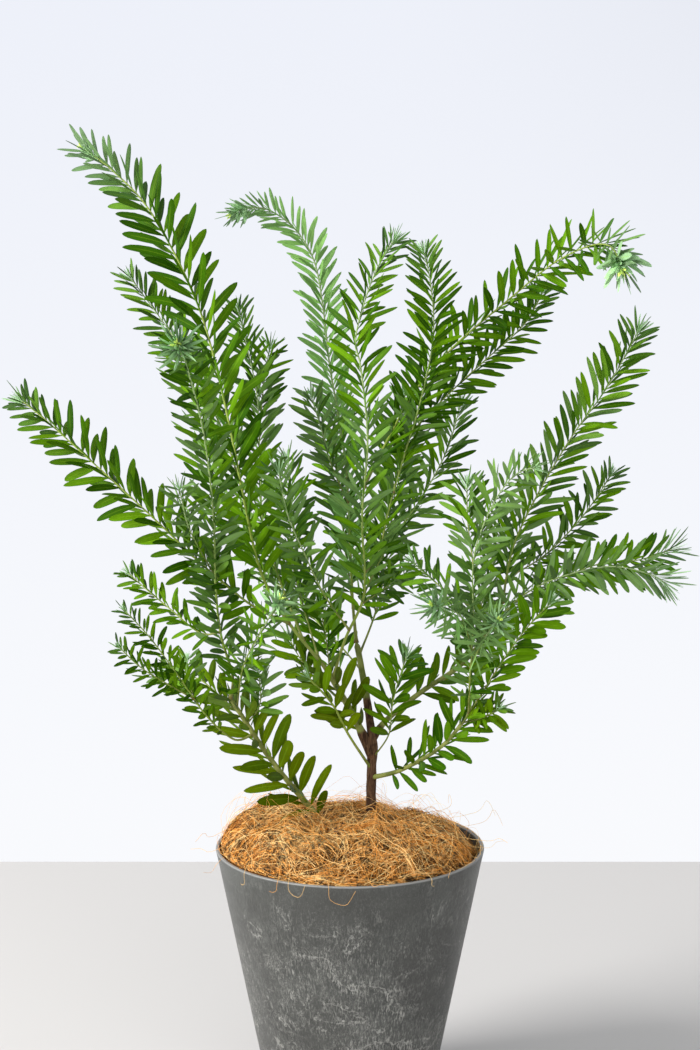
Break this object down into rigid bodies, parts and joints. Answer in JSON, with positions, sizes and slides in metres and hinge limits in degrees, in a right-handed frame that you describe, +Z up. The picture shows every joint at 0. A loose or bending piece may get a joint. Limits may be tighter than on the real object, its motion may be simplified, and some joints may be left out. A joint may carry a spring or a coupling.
{
  "type": "potted acacia",
  "caption": "Young narrow-leaved acacia shrub in a tapered grey stone-look planter, mulched with coir fibre. Stands on its base as a decorative live plant.",
  "frame": {"origin": "centre of the pot's flat base, on the surface it stands on", "axes": "+Z up; +X to the viewer's right and +Y away from the viewer who sees the shrub's fullest side"},
  "size_m": [0.5131, 0.3566, 0.7507],
  "materials": {
    "pot_composite": "matt grey stone-fibre composite with pale chalky streaks",
    "potting_soil": "damp dark potting mix, bound by roots",
    "coir_fibre": "loose golden-brown coconut fibre",
    "bark": "dark brown, finely ridged young bark",
    "green_wood": "olive green young wood",
    "leaf": "leathery green leaf with a soft waxy sheen, paler at the young tips"
  },
  "bodies": {
    "root": {"coir_mulch": "coir_fibre", "limb_left": "bark", "limb_low_right": "green_wood", "limb_right": "green_wood", "pot": "pot_composite", "root_ball": "potting_soil", "shoot_arch": "leaf", "shoot_back_right": "leaf", "shoot_behind_high_left": "leaf", "shoot_centre": "leaf", "shoot_far_left": "leaf", "shoot_far_right": "leaf", "shoot_front_left": "leaf", "shoot_high_left": "leaf", "shoot_high_right": "leaf", "shoot_left": "leaf", "shoot_left_centre": "leaf", "shoot_low_left": "leaf", "shoot_low_right": "leaf", "shoot_near_front": "leaf", "shoot_near_left": "leaf", "shoot_near_right": "leaf", "shoot_out_right": "leaf", "shoot_out_right_back": "leaf", "shoot_rear_centre": "leaf", "shoot_rear_far_left": "leaf", "shoot_rear_left": "leaf", "shoot_rear_low": "leaf", "shoot_rear_low_right": "leaf", "shoot_rear_right": "leaf", "shoot_right_centre": "leaf", "shoot_second_right": "leaf", "shoot_silver_left": "leaf", "shoot_silver_right": "leaf", "shoot_third_right": "leaf", "stem_low_left": "green_wood", "trunk": "bark", "twig_arch": "leaf", "twig_centre": "leaf", "twig_far_left": "leaf", "twig_fork": "leaf", "twig_inward_right": "leaf", "twig_left_behind": "leaf", "twig_left_centre": "leaf", "twig_left_tiny": "leaf", "twig_left_upright": "leaf", "twig_low_left": "leaf", "twig_low_right": "leaf", "twig_near_right": "leaf", "twig_pale": "leaf", "twig_trunk_left": "leaf", "twig_trunk_right": "leaf"}
  },
  "joints": []
}
